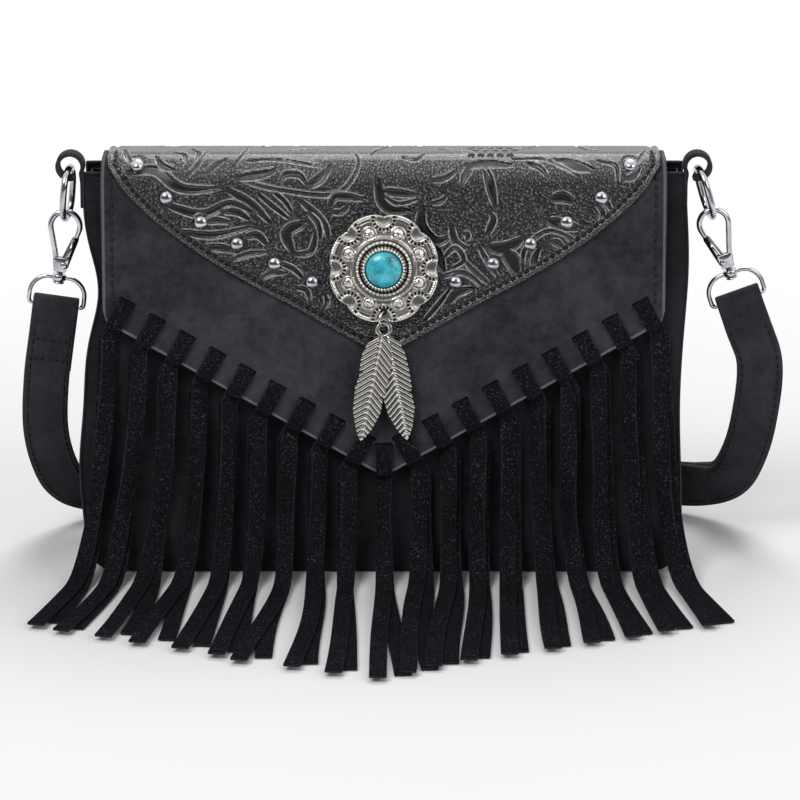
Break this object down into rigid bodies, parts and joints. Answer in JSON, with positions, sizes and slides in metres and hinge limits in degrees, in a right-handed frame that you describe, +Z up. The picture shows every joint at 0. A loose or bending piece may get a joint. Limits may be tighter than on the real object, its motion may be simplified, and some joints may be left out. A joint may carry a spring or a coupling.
{
  "type": "fringed suede bag",
  "caption": "Crossbody bag with a V-shaped laced flap, tooled overlay, concho with feather charms, long suede fringe and a clip-on shoulder strap.",
  "frame": {"origin": "centre of the bag's bottom, on the surface it stands on", "axes": "+Z up, -Y out of the flap's front, +X to the right seen from the front"},
  "size_m": [0.3693, 0.2735, 0.2005],
  "materials": {
    "nubuck": "brushed suede nap",
    "suede_lace": "soft suede",
    "tooled_leather": "glossy tooled",
    "strap_leather": "brushed suede nap",
    "lining_cloth": "woven",
    "chrome": "polished",
    "antique_silver": "antiqued",
    "turquoise_stone": "polished with dark veins"
  },
  "bodies": {
    "pouch": {"front_panel": "nubuck", "back_panel": "nubuck", "gusset": "nubuck", "lining": "lining_cloth", "snap_socket": "chrome", "ring_tab_left": "strap_leather", "ring_tab_right": "strap_leather", "ring_left": "chrome", "ring_right": "chrome", "swivel_loop_left": "chrome", "swivel_loop_right": "chrome", "strap": "strap_leather", "strap_slider": "chrome"},
    "flap": {"flap_base": "nubuck", "tooled_overlay": "tooled_leather", "stud_left_1": "chrome", "stud_left_2": "chrome", "stud_left_3": "chrome", "stud_left_4": "chrome", "stud_left_5": "chrome", "stud_left_6": "chrome", "stud_right_1": "chrome", "stud_right_2": "chrome", "stud_right_3": "chrome", "stud_right_4": "chrome", "stud_right_5": "chrome", "stud_right_6": "chrome", "concho": "antique_silver", "stone_bezel": "antique_silver", "stone": "turquoise_stone", "jump_ring": "antique_silver", "snap_cap": "chrome"},
    "lace_01_hang": {"lace_01": "suede_lace"},
    "lace_02_hang": {"lace_02": "suede_lace"},
    "lace_03_hang": {"lace_03": "suede_lace"},
    "lace_04_hang": {"lace_04": "suede_lace"},
    "lace_05_hang": {"lace_05": "suede_lace"},
    "lace_06_hang": {"lace_06": "suede_lace"},
    "lace_07_hang": {"lace_07": "suede_lace"},
    "lace_08_hang": {"lace_08": "suede_lace"},
    "lace_09_hang": {"lace_09": "suede_lace"},
    "lace_10_hang": {"lace_10": "suede_lace"},
    "lace_11_hang": {"lace_11": "suede_lace"},
    "lace_12_hang": {"lace_12": "suede_lace"},
    "lace_13_hang": {"lace_13": "suede_lace"},
    "lace_14_hang": {"lace_14": "suede_lace"},
    "lace_15_hang": {"lace_15": "suede_lace"},
    "lace_16_hang": {"lace_16": "suede_lace"},
    "lace_17_hang": {"lace_17": "suede_lace"},
    "lace_18_hang": {"lace_18": "suede_lace"},
    "lace_19_hang": {"lace_19": "suede_lace"},
    "feather_left_hang": {"feather_left": "antique_silver"},
    "feather_right_hang": {"feather_right": "antique_silver"},
    "clasp_left": {"clasp_frame_left": "chrome", "clasp_rivet_left": "chrome"},
    "gate_left": {"clasp_gate_left": "chrome"},
    "clasp_right": {"clasp_frame_right": "chrome", "clasp_rivet_right": "chrome"},
    "gate_right": {"clasp_gate_right": "chrome"}
  },
  "joints": [
    {"name": "flap_hinge", "type": "hinge", "parent": "pouch", "child": "flap", "pos_m": [0, 0.013, 0.19215], "axis": [-1, 0, 0], "range_deg": [0, 90]},
    {"name": "lace_01_swing", "type": "hinge", "parent": "flap", "child": "lace_01_hang", "pos_m": [-0.1287, -0.02662, 0.12003], "axis": [-1, 0, 0], "range_deg": [-90, 0], "deforming": ["lace_01"]},
    {"name": "lace_02_swing", "type": "hinge", "parent": "flap", "child": "lace_02_hang", "pos_m": [-0.1144, -0.02758, 0.11203], "axis": [-1, 0, 0], "range_deg": [-90, 0], "deforming": ["lace_02"]},
    {"name": "lace_03_swing", "type": "hinge", "parent": "flap", "child": "lace_03_hang", "pos_m": [-0.1001, -0.02854, 0.10403], "axis": [-1, 0, 0], "range_deg": [-90, 0], "deforming": ["lace_03"]},
    {"name": "lace_04_swing", "type": "hinge", "parent": "flap", "child": "lace_04_hang", "pos_m": [-0.0858, -0.0295, 0.09602], "axis": [-1, 0, 0], "range_deg": [-90, 0], "deforming": ["lace_04"]},
    {"name": "lace_05_swing", "type": "hinge", "parent": "flap", "child": "lace_05_hang", "pos_m": [-0.0715, -0.03046, 0.08802], "axis": [-1, 0, 0], "range_deg": [-90, 0], "deforming": ["lace_05"]},
    {"name": "lace_06_swing", "type": "hinge", "parent": "flap", "child": "lace_06_hang", "pos_m": [-0.0572, -0.03141, 0.08002], "axis": [-1, 0, 0], "range_deg": [-90, 0], "deforming": ["lace_06"]},
    {"name": "lace_07_swing", "type": "hinge", "parent": "flap", "child": "lace_07_hang", "pos_m": [-0.0429, -0.03237, 0.07201], "axis": [-1, 0, 0], "range_deg": [-90, 0], "deforming": ["lace_07"]},
    {"name": "lace_08_swing", "type": "hinge", "parent": "flap", "child": "lace_08_hang", "pos_m": [-0.0286, -0.03333, 0.06401], "axis": [-1, 0, 0], "range_deg": [-90, 0], "deforming": ["lace_08"]},
    {"name": "lace_09_swing", "type": "hinge", "parent": "flap", "child": "lace_09_hang", "pos_m": [-0.0143, -0.03429, 0.056], "axis": [-1, 0, 0], "range_deg": [-90, 0], "deforming": ["lace_09"]},
    {"name": "lace_10_swing", "type": "hinge", "parent": "flap", "child": "lace_10_hang", "pos_m": [0, -0.03504, 0.04975], "axis": [-1, 0, 0], "range_deg": [-90, 0], "deforming": ["lace_10"]},
    {"name": "lace_11_swing", "type": "hinge", "parent": "flap", "child": "lace_11_hang", "pos_m": [0.0143, -0.03429, 0.056], "axis": [-1, 0, 0], "range_deg": [-90, 0], "deforming": ["lace_11"]},
    {"name": "lace_12_swing", "type": "hinge", "parent": "flap", "child": "lace_12_hang", "pos_m": [0.0286, -0.03333, 0.06401], "axis": [-1, 0, 0], "range_deg": [-90, 0], "deforming": ["lace_12"]},
    {"name": "lace_13_swing", "type": "hinge", "parent": "flap", "child": "lace_13_hang", "pos_m": [0.0429, -0.03237, 0.07201], "axis": [-1, 0, 0], "range_deg": [-90, 0], "deforming": ["lace_13"]},
    {"name": "lace_14_swing", "type": "hinge", "parent": "flap", "child": "lace_14_hang", "pos_m": [0.0572, -0.03141, 0.08002], "axis": [-1, 0, 0], "range_deg": [-90, 0], "deforming": ["lace_14"]},
    {"name": "lace_15_swing", "type": "hinge", "parent": "flap", "child": "lace_15_hang", "pos_m": [0.0715, -0.03046, 0.08802], "axis": [-1, 0, 0], "range_deg": [-90, 0], "deforming": ["lace_15"]},
    {"name": "lace_16_swing", "type": "hinge", "parent": "flap", "child": "lace_16_hang", "pos_m": [0.0858, -0.0295, 0.09602], "axis": [-1, 0, 0], "range_deg": [-90, 0], "deforming": ["lace_16"]},
    {"name": "lace_17_swing", "type": "hinge", "parent": "flap", "child": "lace_17_hang", "pos_m": [0.1001, -0.02854, 0.10403], "axis": [-1, 0, 0], "range_deg": [-90, 0], "deforming": ["lace_17"]},
    {"name": "lace_18_swing", "type": "hinge", "parent": "flap", "child": "lace_18_hang", "pos_m": [0.1144, -0.02758, 0.11203], "axis": [-1, 0, 0], "range_deg": [-90, 0], "deforming": ["lace_18"]},
    {"name": "lace_19_swing", "type": "hinge", "parent": "flap", "child": "lace_19_hang", "pos_m": [0.1287, -0.02662, 0.12003], "axis": [-1, 0, 0], "range_deg": [-90, 0], "deforming": ["lace_19"]},
    {"name": "feather_left_swing", "type": "hinge", "parent": "flap", "child": "feather_left_hang", "pos_m": [0, -0.03331, 0.12358], "axis": [0, 0.9929, -0.1189], "range_deg": [-12, 12]},
    {"name": "feather_right_swing", "type": "hinge", "parent": "flap", "child": "feather_right_hang", "pos_m": [0, -0.03171, 0.12358], "axis": [0, 0.9929, -0.1189], "range_deg": [-12, 12]},
    {"name": "clasp_left_swivel", "type": "hinge", "parent": "pouch", "child": "clasp_left", "pos_m": [-0.15624, 0, 0.14085], "axis": [0.1392, 0, 0.9903], "range_deg": [-20, 20]},
    {"name": "gate_left_hinge", "type": "hinge", "parent": "clasp_left", "child": "gate_left", "pos_m": [-0.15418, 0, 0.144], "axis": [0, -1, 0], "range_deg": [0, 25], "stiffness_Nm_per_rad": 0.005, "springref_deg": -11.46},
    {"name": "clasp_right_swivel", "type": "hinge", "parent": "pouch", "child": "clasp_right", "pos_m": [0.16585, 0, 0.1429], "axis": [-0.3256, 0, 0.9455], "range_deg": [-20, 20]},
    {"name": "gate_right_hinge", "type": "hinge", "parent": "clasp_right", "child": "gate_right", "pos_m": [0.16323, 0, 0.1456], "axis": [0, 1, 0], "range_deg": [0, 25], "stiffness_Nm_per_rad": 0.005, "springref_deg": -11.46}
  ],
  "couplings": [
    {"joint": "lace_01_swing", "follows": "flap_hinge", "ratio": -1},
    {"joint": "lace_02_swing", "follows": "flap_hinge", "ratio": -1},
    {"joint": "lace_03_swing", "follows": "flap_hinge", "ratio": -1},
    {"joint": "lace_04_swing", "follows": "flap_hinge", "ratio": -1},
    {"joint": "lace_05_swing", "follows": "flap_hinge", "ratio": -1},
    {"joint": "lace_06_swing", "follows": "flap_hinge", "ratio": -1},
    {"joint": "lace_07_swing", "follows": "flap_hinge", "ratio": -1},
    {"joint": "lace_08_swing", "follows": "flap_hinge", "ratio": -1},
    {"joint": "lace_09_swing", "follows": "flap_hinge", "ratio": -1},
    {"joint": "lace_10_swing", "follows": "flap_hinge", "ratio": -1},
    {"joint": "lace_11_swing", "follows": "flap_hinge", "ratio": -1},
    {"joint": "lace_12_swing", "follows": "flap_hinge", "ratio": -1},
    {"joint": "lace_13_swing", "follows": "flap_hinge", "ratio": -1},
    {"joint": "lace_14_swing", "follows": "flap_hinge", "ratio": -1},
    {"joint": "lace_15_swing", "follows": "flap_hinge", "ratio": -1},
    {"joint": "lace_16_swing", "follows": "flap_hinge", "ratio": -1},
    {"joint": "lace_17_swing", "follows": "flap_hinge", "ratio": -1},
    {"joint": "lace_18_swing", "follows": "flap_hinge", "ratio": -1},
    {"joint": "lace_19_swing", "follows": "flap_hinge", "ratio": -1}
  ]
}
